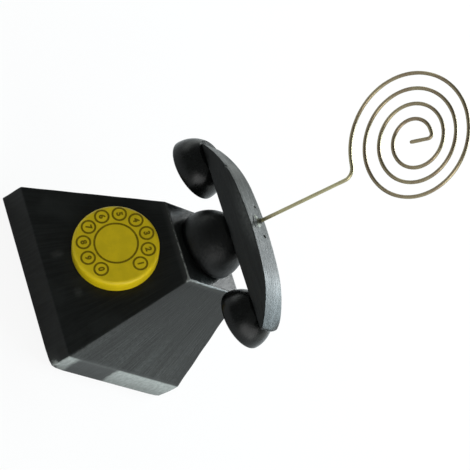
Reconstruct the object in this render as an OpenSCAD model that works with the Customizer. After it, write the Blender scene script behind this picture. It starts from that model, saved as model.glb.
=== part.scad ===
// Memo holder in the shape of a small desk telephone: a tapered wooden block with a
// round dial, a domed neck, a handset with two half-ball knobs, and a wire spiral that
// holds notes between its turns. Millimetres, +Z up. The origin is the middle of the
// block's base, on the surface it stands on; the dial faces -Y.

/* [Body] */
// Width of the base, left to right
base_w = 60; // [56:1:70]
// Depth of the base, front to back
base_d = 58; // [54:1:66]
// Height of the upright band round the foot
plinth_h = 7.8; // [5:0.1:10]
// Height of the whole block
body_h = 40.5; // [36:0.5:46]
// Width of the top face
top_w = 28; // [25:0.5:32]
// Depth of the top face
top_d = 28; // [26:0.5:31]
// How far the middle of the top face lies behind the middle of the base
top_back = 12.3; // [10:0.1:13]

/* [Dial] */
// Diameter of the dial disc
dial_d = 27.2; // [24:0.2:30]
// Thickness of the dial disc
dial_t = 5; // [3:0.1:6]
// Rounding of the disc's front edge
dial_round = 1.2; // [0.4:0.1:1.8]
// Distance of the dial's middle up the sloping front from the foot band
dial_up = 22.8; // [19:0.1:25]
// Sideways offset of the dial as glued
dial_side = -1; // [-2:0.1:2]

/* [Neck] */
// Diameter of the domed neck
neck_d = 22.6; // [22.2:0.2:25]
// Height of the neck between block and handset
neck_h = 12.7; // [12:0.1:13.2]
// Height of the neck's widest ring above its foot
neck_rim = 2.7; // [2.2:0.1:3.2]
// Rounding of the neck's lower edge
neck_round = 2.4; // [1.4:0.1:2.6]
// Diameter of the dowel between block and neck
dowel_d = 6; // [5:0.5:6]
// Length of the dowel
dowel_l = 18; // [14:1:22]
// Length of the dowel's stretch in the neck
dowel_in_neck = 5.6; // [4:0.1:5.8]
// Chamfer at both ends of the dowel
dowel_chamfer = 0.6; // [0.3:0.1:1]

/* [Handset] */
// Length of the handset board
handset_l = 66.4; // [62:0.2:70]
// Thickness of the board, front to back
handset_t = 9.4; // [8:0.1:12]
// Height of the board at its crown
handset_h = 8.3; // [7.4:0.1:9]
// Height left at the board's blunt ends
handset_end = 0.7; // [0.5:0.1:1.2]
// Radius of the arch near the ends
shoulder_r = 40; // [38:1:44]
// Half angle of the flatter arc over the crown
crown_angle = 5.7; // [4:0.1:7]
// How far the board is glued to the right of the neck
handset_right = 2.4; // [0:0.1:3]
// How far the board is glued behind the neck's axis
handset_back = 1; // [0:0.1:1.5]

/* [Knobs] */
// Diameter of the ear knob
ear_knob_d = 20.4; // [18.6:0.2:21]
// Diameter of the mouth knob
mouth_knob_d = 19.4; // [18.6:0.2:21]
// Height of the knobs
knob_h = 8.5; // [8:0.1:9]
// Rounding of the knobs' lower edge
knob_round = 0.8; // [0.3:0.1:1.5]
// Distance of the ear knob's axis from the board's end
ear_inset = 4.2; // [3.5:0.1:9]
// Distance of the mouth knob's axis from the board's end
mouth_inset = 8; // [5:0.1:9]

/* [Wire] */
// Diameter of the memo wire
wire_d = 1.1; // [0.9:0.1:1.4]
// Height of the wire's elbow above the handset
stem_h = 35.5; // [30:0.5:42]
// Lean of the stem to the right
stem_lean = 4.2; // [0:0.1:6]
// How far the wire stands to the right of the neck's axis
wire_right = 0.2; // [0:0.1:0.6]
// How far the wire stands behind the board's middle
wire_back = 1.6; // [0:0.1:2]
// Length of wire set into the neck
wire_in_neck = 5.5; // [4:0.1:6]
// Bend radius of the elbow
elbow_r = 3.5; // [2.5:0.1:4]
// Radius of the spiral where it starts
spiral_r = 22; // [20:0.5:24]
// Distance between neighbouring turns
turn_pitch = 4.7; // [4:0.1:4.9]
// How far the spiral's middle moves to the right with each turn
drift_right = 0.3; // [0:0.1:0.4]
// How far the spiral's middle moves up with each turn
drift_up = 0.3; // [0:0.1:0.4]
// Number of turns
turns = 3.46; // [3.2:0.02:3.5]
// Bend radius of the hook at the inner end
hook_r = 1.3; // [1.2:0.1:1.6]
// Length of the straight end inside the hook
tail_l = 6.2; // [4:0.1:6.4]

/* [Fixings] */
// Diameter of the handset nails
nail_d = 1.1; // [0.9:0.1:1.2]
// Diameter of the nail heads
nail_head_d = 1.7; // [1.5:0.1:2.2]
// Length of the nails
nail_l = 13.4; // [12:0.2:14]
// Distance between the two nails
nail_spacing = 10.8; // [9:0.1:12]
// Depth of the nail heads below the board's crown
nail_sink = 0.3; // [0.3:0.1:0.8]
// Diameter of the bead of glue round the wire
glue_d = 4.6; // [3.6:0.1:5]
// Height of the bead of glue
glue_h = 0.8; // [0.5:0.1:1.2]

/* [Hidden] */
$fn = 96;

// Running clearances and small reaches past a face, so cuts leave no skin
fit = 0.05;
bore_spare = 0.5;
past = 1;

slope_angle = atan2(body_h - plinth_h, base_d / 2 + top_back - top_d / 2);
handset_z = body_h + neck_h;
handset_x = handset_right;
handset_y = top_back + handset_back;
ear_x = handset_x - handset_l / 2 + ear_inset;
mouth_x = handset_x + handset_l / 2 - mouth_inset;

// Arch of the handset: a flat crown arc runs tangent into two tighter shoulder arcs,
// which end on the blunt ends. The difference of the two radii solves a quadratic.
arch_drop = handset_end - handset_h + shoulder_r;
arch_a = pow(sin(crown_angle), 2) + pow(1 - cos(crown_angle), 2);
arch_b = 2 * arch_drop * (1 - cos(crown_angle)) - handset_l * sin(crown_angle);
arch_c = pow(handset_l / 2, 2) + pow(arch_drop, 2) - pow(shoulder_r, 2);
radius_step = (-arch_b - sqrt(arch_b * arch_b - 4 * arch_a * arch_c)) / (2 * arch_a);
crown_r = shoulder_r + radius_step;
shoulder_x = radius_step * sin(crown_angle);
shoulder_z = handset_h - crown_r + radius_step * cos(crown_angle);

// The wire lies in one upright plane: x to the right, y up from the handset's crown
wire_x = wire_right;
wire_y = handset_y + wire_back;
wire_z = handset_z + handset_h;
wire_depth = handset_h + wire_in_neck;
wire_bore_d = wire_d + 2 * fit;
nail_bore_d = nail_d + 2 * fit;
nail_head_h = nail_d / 2;
nail_top = handset_h - nail_sink;

// Shape of the wire: where the spiral starts on its circle, the straight leads into
// the spiral and the hook, and where the hook's end points, all in millimetres and degrees
wire_sides = 6;
rings_per_turn = 24;
bend_rings = 6;
spiral_start = 262;
spiral_lead = 4.5;
hook_lead = 1.2;
hook_end = 252;

function heading(a) = [cos(a), sin(a)];
function angle_of(v) = atan2(v[1], v[0]);
// The spiral runs clockwise inwards: its radius shrinks and its middle drifts steadily
function spiral_radius(turn) = spiral_r - turn_pitch * turn;
function spiral_arm(turn) = spiral_radius(turn) * heading(spiral_start - 360 * turn);
function spiral_heading(turn) =
    let (a = spiral_start - 360 * turn)
    angle_of(spiral_drift - turn_pitch * heading(a) - 2 * PI * spiral_radius(turn) * heading(a + 90));
// Points of a bend that starts at p with heading a and turns by t, to the left if t > 0
function bend(p, a, t, r) =
    let (side = t > 0 ? 1 : -1, c = p + r * heading(a + 90 * side))
    [for (i = [1 : bend_rings]) c - r * heading(a + t * i / bend_rings + 90 * side)];
function turn_between(a, b) = (b - a + 540) % 360 - 180;

spiral_drift = [drift_right, drift_up];
stem_heading = 90 - stem_lean;
elbow_corner = stem_h / sin(stem_heading) * heading(stem_heading);
elbow_turn = turn_between(stem_heading, spiral_heading(0));
elbow_tangent = elbow_r * tan(elbow_turn / 2);
elbow_start = elbow_corner - elbow_tangent * heading(stem_heading);
spiral_first = elbow_corner + spiral_lead * heading(spiral_heading(0));
spiral_centre = spiral_first - spiral_arm(0);
spiral_end = spiral_centre + spiral_drift * turns + spiral_arm(turns);
hook_start = spiral_end + hook_lead * heading(spiral_heading(turns));
hook_turn = turn_between(spiral_heading(turns), hook_end);
hook = bend(hook_start, spiral_heading(turns), hook_turn, hook_r);
spiral_rings = ceil(turns * rings_per_turn);
wire_path = concat(
    [-wire_depth * heading(stem_heading) / sin(stem_heading), [0, 0], elbow_start],
    bend(elbow_start, stem_heading, elbow_turn, elbow_r),
    [for (i = [0 : spiral_rings])
        let (turn = turns * i / spiral_rings)
        spiral_centre + spiral_drift * turn + spiral_arm(turn)],
    [hook_start],
    hook,
    [hook[bend_rings - 1] + tail_l * heading(hook_end)]
);

// Least distance between turns that aren't neighbours along the wire, less one diameter
wire_gap = min([for (i = [0 : len(wire_path) - 1], j = [i + rings_per_turn / 2 : len(wire_path) - 1])
    norm(wire_path[i] - wire_path[j])]) - wire_d;
echo(least_gap_between_turns = wire_gap);

// Ball segment on a flat foot at z = 0: radius r, widest at height rim, cut off at
// height h, with its lower edge rounded
module ball_segment(r, rim, h, round) {
    rotate_extrude() {
        difference() {
            translate([0, rim]) circle(r = r);
            translate([-2 * r, -2 * r]) square([2 * r, 4 * r]);
            translate([0, h]) square([2 * r, 2 * r]);
            translate([0, round - 2 * r]) square([2 * r, 2 * r]);
        }
        square([foot_middle(r, rim, round), round]);
        translate([foot_middle(r, rim, round), round]) circle(r = round);
    }
}
// Distance from the axis to the middle of the rounded foot edge, whose arc touches the
// ball from inside
function foot_middle(r, rim, round) = sqrt(pow(r - round, 2) - pow(rim - round, 2));

module body_block() {
    intersection() {
        translate([0, base_d, 0]) rotate([90, 0, 0]) linear_extrude(2 * base_d)
            polygon([[-base_w / 2, 0], [base_w / 2, 0], [base_w / 2, plinth_h],
                     [top_w / 2, body_h], [-top_w / 2, body_h], [-base_w / 2, plinth_h]]);
        translate([-base_w, 0, 0]) rotate([90, 0, 90]) linear_extrude(2 * base_w)
            polygon([[-base_d / 2, 0], [base_d / 2, 0], [base_d / 2, plinth_h],
                     [top_back + top_d / 2, body_h], [top_back - top_d / 2, body_h],
                     [-base_d / 2, plinth_h]]);
    }
}

module body() {
    color([0.09, 0.09, 0.09])
    difference() {
        body_block();
        translate([0, top_back, body_h - (dowel_l - dowel_in_neck) - bore_spare])
            cylinder(d = dowel_d + 2 * fit, h = dowel_l + past);
    }
}

module dial_disc() {
    dial_r = dial_d / 2;
    color([0.72, 0.66, 0.16])
    translate([dial_side, -base_d / 2, plinth_h]) rotate([slope_angle, 0, 0])
    translate([0, dial_up, 0]) rotate_extrude() {
        square([dial_r, dial_t - dial_round]);
        square([dial_r - dial_round, dial_t]);
        translate([dial_r - dial_round, dial_t - dial_round]) intersection() {
            circle(r = dial_round);
            square(2 * dial_round);
        }
    }
}

module wire_bore() {
    translate([wire_x, wire_y, wire_z]) rotate([0, stem_lean, 0])
        translate([0, 0, -wire_depth / cos(stem_lean) - bore_spare])
            cylinder(d = wire_bore_d, h = wire_depth + bore_spare + past, $fn = 24);
}

module at_nails() {
    for (side = [-1, 1])
        translate([wire_x + side * nail_spacing / 2, wire_y, handset_z]) children();
}

module nail_bores() {
    at_nails() {
        translate([0, 0, nail_top - nail_l - bore_spare])
            cylinder(d = nail_bore_d, h = nail_l + bore_spare, $fn = 24);
        translate([0, 0, nail_top - nail_head_h])
            cylinder(d = nail_head_d + 2 * fit, h = nail_head_h + nail_sink + past, $fn = 24);
    }
}

module neck() {
    color([0.08, 0.08, 0.08])
    difference() {
        translate([0, top_back, body_h]) ball_segment(neck_d / 2, neck_rim, neck_h, neck_round);
        translate([0, top_back, body_h - past])
            cylinder(d = dowel_d + 2 * fit, h = past + dowel_in_neck + bore_spare);
        wire_bore();
        nail_bores();
    }
}

module neck_dowel() {
    color([0.8, 0.68, 0.5])
    translate([0, top_back, body_h - (dowel_l - dowel_in_neck)])
    rotate_extrude() {
        r = dowel_d / 2;
        polygon([[0, 0], [r - dowel_chamfer, 0], [r, dowel_chamfer], [r, dowel_l - dowel_chamfer],
                 [r - dowel_chamfer, dowel_l], [0, dowel_l]]);
    }
}

module handset_outline() {
    intersection() {
        translate([-handset_l / 2, 0]) square([handset_l, handset_h]);
        union() {
            for (side = [-1, 1])
                translate([side * shoulder_x, shoulder_z]) circle(r = shoulder_r, $fn = 360);
            intersection() {
                translate([0, handset_h - crown_r]) circle(r = crown_r, $fn = 720);
                translate([0, handset_h - crown_r])
                    polygon([[0, 0], 2 * crown_r * heading(90 - crown_angle),
                             2 * crown_r * heading(90 + crown_angle)]);
            }
        }
    }
}

module handset_board() {
    translate([handset_x, handset_y + handset_t / 2, handset_z]) rotate([90, 0, 0])
        linear_extrude(handset_t) handset_outline();
}

module handset() {
    color([0.1, 0.1, 0.1])
    difference() {
        handset_board();
        wire_bore();
        nail_bores();
    }
}

module knob(x, d) {
    translate([x, handset_y, handset_z - knob_h])
        ball_segment(d / 2, knob_round, knob_h, knob_round);
}

module ear_knob() {
    color([0.09, 0.09, 0.09]) knob(ear_x, ear_knob_d);
}

module mouth_knob() {
    color([0.09, 0.09, 0.09]) knob(mouth_x, mouth_knob_d);
}

module handset_nails() {
    color([0.45, 0.45, 0.46])
    at_nails() translate([0, 0, nail_top - nail_l]) {
        cylinder(d1 = 0, d2 = nail_d, h = nail_d, $fn = 24);
        translate([0, 0, nail_d]) cylinder(d = nail_d, h = nail_l - nail_d, $fn = 24);
        translate([0, 0, nail_l - nail_head_h])
            cylinder(d = nail_head_d, h = nail_head_h, $fn = 24);
    }
}

// Direction of the wire at one of its points: along the chord of its neighbours
function wire_direction(i) =
    let (a = wire_path[max(i - 1, 0)], b = wire_path[min(i + 1, len(wire_path) - 1)])
    (b - a) / norm(b - a);
function wire_ring(i) =
    let (d = wire_direction(i), across = [-d[1], d[0]])
    [for (k = [0 : wire_sides - 1])
        let (turn = 360 * (k + 0.5) / wire_sides, p = wire_path[i] + across * cos(turn) * wire_d / 2)
        [p[0], sin(turn) * wire_d / 2, p[1]]];

module memo_wire() {
    last = len(wire_path) - 1;
    color([0.62, 0.56, 0.36])
    translate([wire_x, wire_y, wire_z])
    polyhedron(
        points = [for (i = [0 : last]) each wire_ring(i)],
        faces = concat(
            [[for (k = [0 : wire_sides - 1]) wire_sides - 1 - k]],
            [for (i = [0 : last - 1], k = [0 : wire_sides - 1])
                let (a = i * wire_sides, b = (i + 1) * wire_sides, m = (k + 1) % wire_sides)
                each [[a + k, a + m, b + m], [a + k, b + m, b + k]]],
            [[for (k = [0 : wire_sides - 1]) last * wire_sides + k]]
        )
    );
}

// A low cap on the handset's crown, with a hole wide enough for the leaning wire
module wire_glue() {
    cap_r = (pow(glue_d / 2, 2) + pow(glue_h, 2)) / (2 * glue_h);
    hole_r = wire_bore_d / 2 + glue_h * tan(stem_lean);
    color([0.75, 0.75, 0.7])
    translate([wire_x, wire_y, wire_z])
    rotate_extrude() intersection() {
        translate([0, glue_h - cap_r]) circle(r = cap_r);
        translate([hole_r, 0]) square([glue_d, glue_h]);
    }
}

body();
dial_disc();
neck();
neck_dowel();
handset();
ear_knob();
mouth_knob();
handset_nails();
memo_wire();
wire_glue();
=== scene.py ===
"""Looks of a wooden memo holder shaped like a small desk telephone, in metres.

The packed model gives each piece its place and size. Every visible piece is rebuilt here as a
smooth, slightly worn surface, and gets its paint, print, metal or glue as a procedural material.
"""

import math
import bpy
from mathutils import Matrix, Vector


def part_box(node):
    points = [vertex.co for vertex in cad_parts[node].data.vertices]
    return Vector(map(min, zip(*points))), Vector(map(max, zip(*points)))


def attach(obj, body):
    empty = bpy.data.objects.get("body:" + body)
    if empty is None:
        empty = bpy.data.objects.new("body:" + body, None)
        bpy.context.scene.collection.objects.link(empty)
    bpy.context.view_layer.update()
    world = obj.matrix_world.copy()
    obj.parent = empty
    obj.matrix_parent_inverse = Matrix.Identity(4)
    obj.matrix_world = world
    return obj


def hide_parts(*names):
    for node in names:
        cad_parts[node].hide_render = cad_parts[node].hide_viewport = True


bl_info = {
    "name": "Telephone memo holder",
    "version": (1, 0, 0),
    "blender": (4, 5, 0),
    "location": "3D View > Sidebar > Memo Holder",
    "description": "Builds a telephone-shaped memo holder with a printed dial and a wire spiral",
    "category": "Object",
}

import bpy
import numpy as np
from bpy.props import FloatProperty, FloatVectorProperty, IntProperty, PointerProperty
from mathutils import Matrix, Vector

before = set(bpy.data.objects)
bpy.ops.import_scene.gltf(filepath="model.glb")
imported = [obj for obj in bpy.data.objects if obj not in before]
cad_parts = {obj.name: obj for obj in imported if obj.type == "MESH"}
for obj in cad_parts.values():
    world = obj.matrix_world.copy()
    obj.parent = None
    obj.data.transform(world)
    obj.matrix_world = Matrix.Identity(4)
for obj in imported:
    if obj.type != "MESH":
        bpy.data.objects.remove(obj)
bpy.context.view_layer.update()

MM = 0.001
BODY_LOW, BODY_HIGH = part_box("body")
BOARD_LOW, BOARD_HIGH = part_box("handset")
WIRE_LOW, WIRE_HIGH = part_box("memo_wire")
WIRE_DEPTH = (WIRE_LOW.y + WIRE_HIGH.y) / 2


def length(name, description, millimetres):
    """A size property, given in millimetres and held in metres."""
    return FloatProperty(name=name, description=description, default=millimetres * MM, min=0,
                         unit="LENGTH", precision=5)


def offset(name, description, millimetres):
    """A distance to either side, given in millimetres and held in metres."""
    return FloatProperty(name=name, description=description, default=millimetres * MM,
                         unit="LENGTH", precision=5)


def angle(name, description, degrees):
    """An angle property, given in degrees and held in radians."""
    return FloatProperty(name=name, description=description, default=math.radians(degrees),
                         subtype="ANGLE")


def share(name, description, default):
    """A property from 0 to 1."""
    return FloatProperty(name=name, description=description, default=default, min=0, max=1,
                         subtype="FACTOR")


def colour(name, description, default):
    """A linear colour property."""
    return FloatVectorProperty(name=name, description=description, default=default, min=0, max=1,
                               size=3, subtype="COLOR")


def power(name, description, watts):
    """A lamp's power in watts."""
    return FloatProperty(name=name, description=description, default=watts, min=0, unit="POWER")


class BlockSettings(bpy.types.PropertyGroup):
    """Sizes of the tapered block that the frame's box doesn't give"""
    plinth_height: length("Foot band", "Height of the upright band round the foot", 7.8)
    top_width: length("Top width", "Width and depth of the top face", 28)
    top_back: length("Top set back", "Distance of the top face's middle behind the base's", 12.3)
    edge_round: length("Edge rounding", "Radius of the sanded edges", 0.4)
    corner_loss: length("Worn corner", "How far the right foot corners are worn", 1.5)


class DialSettings(bpy.types.PropertyGroup):
    """Sizes of the dial disc and its print"""
    radius: length("Radius", "Radius of the disc", 13.6)
    thickness: length("Thickness", "Thickness of the disc", 5)
    edge_round: length("Edge rounding", "Radius of the disc's front edge", 1.2)
    up_slope: length("Up the slope", "Distance of the disc's middle from the foot band", 22.8)
    sideways: offset("Sideways", "Offset of the disc to the right", -1)
    print_right: offset("Print to the right", "Sideways offset of the print on the disc", -0.4)
    print_up: offset("Print upwards", "Upward offset of the print on the disc", 0.2)
    ring_radius: length("Finger ring radius", "Radius of the ten small printed rings", 2.12)
    ring_circle: length("Ring circle", "Radius of the circle that the small rings lie on", 10.1)
    hub_radius: length("Middle ring radius", "Radius of the large printed ring", 6.75)
    line_width: length("Line width", "Width of the printed lines", 0.62)
    ink_height: length("Ink height", "Thickness of the print", 0.03)
    digit_height: length("Digit height", "Height of the numbers", 1.9)
    digit_weight: length("Digit weight", "How much the numbers' strokes are thickened", 0.14)
    first_ring: angle("First ring", "Direction of number 1's ring from the disc's right", 32.5)
    ring_step: angle("Ring step", "Turn from one small ring to the next", 31.7)


class HandsetSettings(bpy.types.PropertyGroup):
    """Sizes of the handset board and its knobs"""
    end_height: length("End height", "Height of the board's blunt ends", 0.7)
    shoulder_radius: length("Shoulder radius", "Radius of the arch near the ends", 40)
    crown_angle: angle("Crown angle", "Half angle of the flatter arc over the crown", 5.7)
    edge_round: length("Edge rounding", "Radius of the board's sanded edges", 0.32)
    corner_loss: length("Worn corner", "How far the mouth end's back corner is worn back", 1.4)
    knob_round: length("Knob edge", "Rounding of the knobs' lower edge", 0.8)


class NeckSettings(bpy.types.PropertyGroup):
    """Sizes of the ball-shaped neck"""
    rim_height: length("Widest height", "Height of the widest ring above the neck's foot", 2.7)
    foot_round: length("Foot rounding", "Rounding of the neck's lower edge", 2.4)


class WireSettings(bpy.types.PropertyGroup):
    """Sizes of the memo wire, which lies in one upright plane"""
    diameter: length("Diameter", "Diameter of the wire", 1.2)
    right: offset("To the right", "Offset of the wire's foot to the right", 0.2)
    stem_height: length("Stem", "Height of the elbow's corner above the handset", 35.5)
    stem_lean: angle("Lean", "Lean of the stem to the right", 4.2)
    in_neck: length("In the neck", "Length of wire set into the neck", 5.5)
    elbow_radius: length("Elbow", "Bend radius of the elbow", 3.5)
    spiral_lead: length("Lead", "Straight length between the elbow and the spiral", 4.5)
    spiral_radius: length("Spiral radius", "Radius of the spiral where it starts", 22)
    spiral_start: angle("Spiral start", "Place on its circle where the spiral starts", 262)
    turn_pitch: length("Pitch", "Distance between neighbouring turns", 4.7)
    drift: offset("Drift", "Rightward and upward shift of the middle with each turn", 0.3)
    turns: FloatProperty(name="Turns", description="Number of turns", default=3.46, min=1)
    hook_lead: length("Hook lead", "Straight length before the inner hook", 1.2)
    hook_radius: length("Hook", "Bend radius of the inner hook", 1.3)
    hook_end: angle("Hook end", "Direction in which the hook's end points", 252)
    tail: length("Tail", "Length of the straight end inside the hook", 6.2)
    sides: IntProperty(name="Sides", description="Sides of the modelled wire", default=20, min=8)


class FixingSettings(bpy.types.PropertyGroup):
    """Sizes of the nails and the glue"""
    nail_diameter: length("Nail", "Diameter of the handset nails", 1.1)
    nail_head: length("Nail head", "Diameter of the nail heads", 1.7)
    nail_length: length("Nail length", "Length of the nails", 13.4)
    nail_spacing: length("Nail spacing", "Distance between the two nails", 10.8)
    nail_sink: length("Nail sink", "Depth of the nail heads below the crown", 0.3)
    glue_height: length("Glue height", "Height of the glue round the wire's foot", 0.8)


class FinishSettings(bpy.types.PropertyGroup):
    """Colours and gloss of the finishes"""
    paint: colour("Black paint", "Black stain on the wood", (0.0058, 0.0065, 0.0063))
    # The worn wood colour also paints the highlights along worn edges, on the neck and on the
    # handset's crown.
    worn: colour("Worn wood", "Wood that shows where the paint has gone", (0.22, 0.23, 0.22))
    # Pale colour of the dust on the block's right side and of the painted reflection of the floor
    # low on that side and on its foot band.
    block_dust_and_sheen: colour("Pale bloom", "Film and dust on the block's right side", (0.33, 0.355, 0.34))
    dial: colour("Dial yellow", "Paint of the dial disc", (0.7, 0.515, 0.006))
    ink: colour("Dial ink", "Print on the dial disc", (0.18, 0.125, 0.001))
    brass: colour("Wire brass", "Metal of the memo wire", (0.41, 0.375, 0.22))
    tarnish: colour("Tarnish", "Brown film on the memo wire", (0.22, 0.155, 0.11))
    gloss: share("Paint roughness", "Roughness of the black paint", 0.3)


class StageSettings(bpy.types.PropertyGroup):
    """Camera, lamps and walls"""
    camera_place: FloatVectorProperty(name="Camera", description="Where the camera stands",
                                      default=(0.363446, -0.704596, 0.42924), size=3,
                                      unit="LENGTH")
    camera_yaw: angle("Yaw", "Camera's turn round the vertical", 26.8)
    camera_fall: angle("Fall", "How far the camera looks down", 25.1)
    camera_roll: angle("Roll", "Clockwise roll of the picture", 60.1)
    lens: FloatProperty(name="Lens", description="Focal length on a 36 mm sensor", default=216.84)
    window_power: power("Window", "Power of the cool window behind", 13.8)
    side_power: power("Side", "Power of the broad panel at the right", 5.8)
    back_power: power("Back", "Power of the panel at the back left", 5.2)
    key_power: power("Key", "Power of the soft lamp at the front right", 0.8)
    walls: FloatProperty(name="Walls", description="Brightness of the walls behind and beside",
                         default=1.5)
    ceiling: FloatProperty(name="Ceiling", description="Brightness of the dim ceiling and front",
                           default=0.185)


SETTINGS = {
    "memo_block": BlockSettings,
    "memo_dial": DialSettings,
    "memo_handset": HandsetSettings,
    "memo_neck": NeckSettings,
    "memo_wire": WireSettings,
    "memo_fixings": FixingSettings,
    "memo_finish": FinishSettings,
    "memo_stage": StageSettings,
}


def link(name, data):
    """A new object in the scene for a mesh, a lamp or a camera."""
    made = bpy.data.objects.new(name, data)
    bpy.context.scene.collection.objects.link(made)
    return made


def ring_faces(rows, columns):
    """Faces of a closed surface: quads between neighbouring rings, and a fan to the pole at each
    end. The two poles come after the rings' points. Rings that run anticlockwise seen from their
    last pole give faces that point outwards."""
    row, column = np.meshgrid(np.arange(rows - 1), np.arange(columns), indexing="ij")
    after = (column + 1) % columns
    quads = np.stack([row * columns + column, row * columns + after,
                      (row + 1) * columns + after, (row + 1) * columns + column], -1)
    here = np.arange(columns)
    following = (here + 1) % columns
    first, last = rows * columns, rows * columns + 1
    top = (rows - 1) * columns
    start_fan = np.stack([following, here, np.full(columns, first)], -1)
    end_fan = np.stack([top + here, top + following, np.full(columns, last)], -1)
    return quads.reshape(-1, 4).tolist() + start_fan.tolist() + end_fan.tolist()


def closed_surface(name, rings, sharp_angle=40.0):
    """An object from an array of rings of points, closed at each end by a pole in the middle
    of its last ring."""
    rows, columns = rings.shape[:2]
    points = np.concatenate([rings.reshape(-1, 3), rings[:1].mean(1), rings[-1:].mean(1)])
    mesh = bpy.data.meshes.new(name)
    mesh.from_pydata(points.tolist(), [], ring_faces(rows, columns))
    mesh.shade_smooth()
    mesh.set_sharp_from_angle(angle=math.radians(sharp_angle))
    mesh.update()
    return link(name, mesh)


def mesh_points(mesh):
    """The mesh's points as an array."""
    points = np.empty(len(mesh.vertices) * 3)
    mesh.vertices.foreach_get("co", points)
    return points.reshape(-1, 3)


def set_attribute(piece, name, values):
    """Stores one number, or one place, per point on the piece, for its material."""
    values = np.asarray(values, np.float32)
    kind, key = ("FLOAT", "value") if values.ndim == 1 else ("FLOAT_VECTOR", "vector")
    layer = piece.data.attributes.new(name, kind, "POINT")
    layer.data.foreach_set(key, values.ravel())


def heading(turn):
    """Unit vectors at given angles, from their cosine and sine."""
    return np.stack([np.cos(turn), np.sin(turn)], -1)


def bell(distance, reach):
    """1 at no distance, fading as a bell curve: e to the minus square of distance by reach."""
    return np.exp(-(distance / reach) ** 2)


def rounded_rings(half, middle, radius, arc_steps, side_shares):
    """Rounded rectangles, one per row: each corner is a quarter circle of the row's radius, and
    each side is straight between two corners, with points at the given shares of its length."""
    rows = len(half)
    quarter = np.linspace(0, math.pi / 2, arc_steps)
    turn = (np.arange(4)[:, None] * math.pi / 2 + quarter).ravel()
    corner = np.repeat([[1, 1], [-1, 1], [-1, -1], [1, -1]], arc_steps, axis=0)
    reach = radius[:, None, None]
    arcs = middle[:, None] + (half[:, None] - reach) * corner
    arcs = arcs + reach * heading(turn)
    arcs = arcs.reshape(rows, 4, arc_steps, 2)
    following = np.roll(arcs[:, :, :1], -1, axis=1)
    along = np.asarray(side_shares)[:, None]
    sides = arcs[:, :, -1:] * (1 - along) + following * along
    return np.concatenate([arcs, sides], axis=2).reshape(rows, -1, 2)


def arc(centre, radius, start, end, steps):
    """Points of a circular arc in a plane, from one angle to another."""
    return np.asarray(centre) + radius * heading(np.linspace(start, end, steps))


def revolve(profile, steps):
    """Rings round Z from a profile of (distance from the axis, height) pairs, lowest first."""
    turn = np.linspace(0, 2 * math.pi, steps, endpoint=False)
    away, height = profile[:, :1], profile[:, 1:]
    return np.stack([away * np.cos(turn), away * np.sin(turn), height + 0 * turn], -1)


def put(rings, place, tilt=0.0):
    """Rings turned about X by the tilt, then moved to their place."""
    turn = np.array(Matrix.Rotation(tilt, 3, "X"))
    return rings @ turn.T + np.asarray(place)


def finish_piece(piece, material, slot, *nodes):
    """Gives a piece its material, lets it ride on the body and stand for its nodes. The slot is
    not used.
    """
    piece.data.materials.clear()
    piece.data.materials.append(material)
    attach(piece, "root")
    if nodes:
        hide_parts(*nodes)
    return piece


def cut_away(piece, cutter):
    """Cuts one closed mesh out of another and keeps the result as the piece's own mesh."""
    cut = piece.modifiers.new("cut", "BOOLEAN")
    cut.operation = "DIFFERENCE"
    cut.solver = "EXACT"
    cut.object = cutter
    shaped = piece.evaluated_get(bpy.context.evaluated_depsgraph_get())
    mesh = bpy.data.meshes.new_from_object(shaped)
    piece.modifiers.clear()
    old = piece.data
    piece.data = mesh
    bpy.data.meshes.remove(old)
    bpy.data.objects.remove(cutter)
    mesh.name = piece.name


class PaleMark:
    """A pale mark on the paint, for scuffs, dust, painted highlights and painted reflections. Its
    place and reach are in millimetres, its strength says how much of the pale worn colour is
    mixed in, and it is longer along an axis whose stretch is small."""

    def __init__(self, place, reach, strength, stretch=(1, 1, 1)):
        self.place = [part * MM for part in place]
        self.reach = reach * MM
        self.strength = strength
        self.stretch = stretch


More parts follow.
